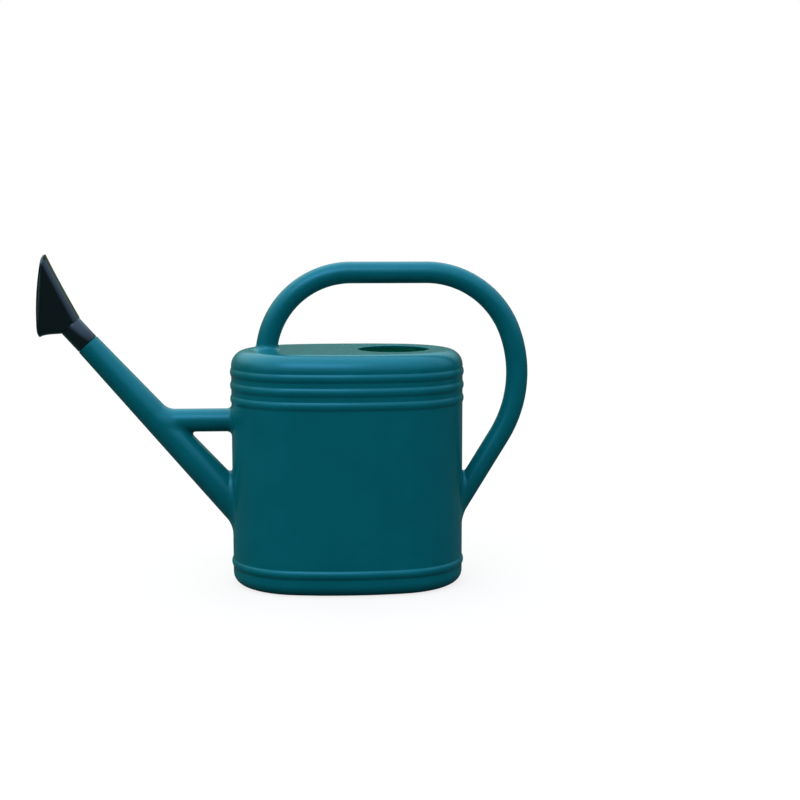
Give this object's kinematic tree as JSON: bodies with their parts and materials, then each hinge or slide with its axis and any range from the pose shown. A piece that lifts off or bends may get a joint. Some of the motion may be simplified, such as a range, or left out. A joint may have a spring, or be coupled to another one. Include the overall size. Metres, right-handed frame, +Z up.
{
  "type": "watering can",
  "caption": "Oval garden watering can with a hooped grip handle, a braced long spout and a turnable push-fit fan rose with a domed spray plate.",
  "frame": {"origin": "centre of the tank's flat base, on the ground", "axes": "+Z up, -X towards the spout and rose, +X towards the back of the handle, +Y across the can"},
  "size_m": [0.5466, 0.1742, 0.3708],
  "materials": {
    "can_plastic": "blow-moulded polyethylene, satin, dark teal",
    "rose_plastic": "injection-moulded, glossy black",
    "seal_rubber": "matte black rubber"
  },
  "bodies": {
    "can": {"tank_wall": "can_plastic", "tank_deck": "can_plastic", "tank_base": "can_plastic", "handle_grip": "can_plastic", "handle_leg": "can_plastic", "spout": "can_plastic", "spout_brace": "can_plastic"},
    "rose_seal": {"seal_ring": "seal_rubber"},
    "rose": {"rose_horn": "rose_plastic", "rose_face": "rose_plastic"}
  },
  "joints": [
    {"name": "rose_pull", "type": "slide", "parent": "can", "child": "rose_seal", "axis": [-0.6659, 0, 0.7461], "range_m": [0, 0.045]},
    {"name": "rose_turn", "type": "hinge", "parent": "rose_seal", "child": "rose", "pos_m": [-0.28781, 0, 0.27132], "axis": [-0.6659, 0, 0.7461], "continuous": true}
  ]
}
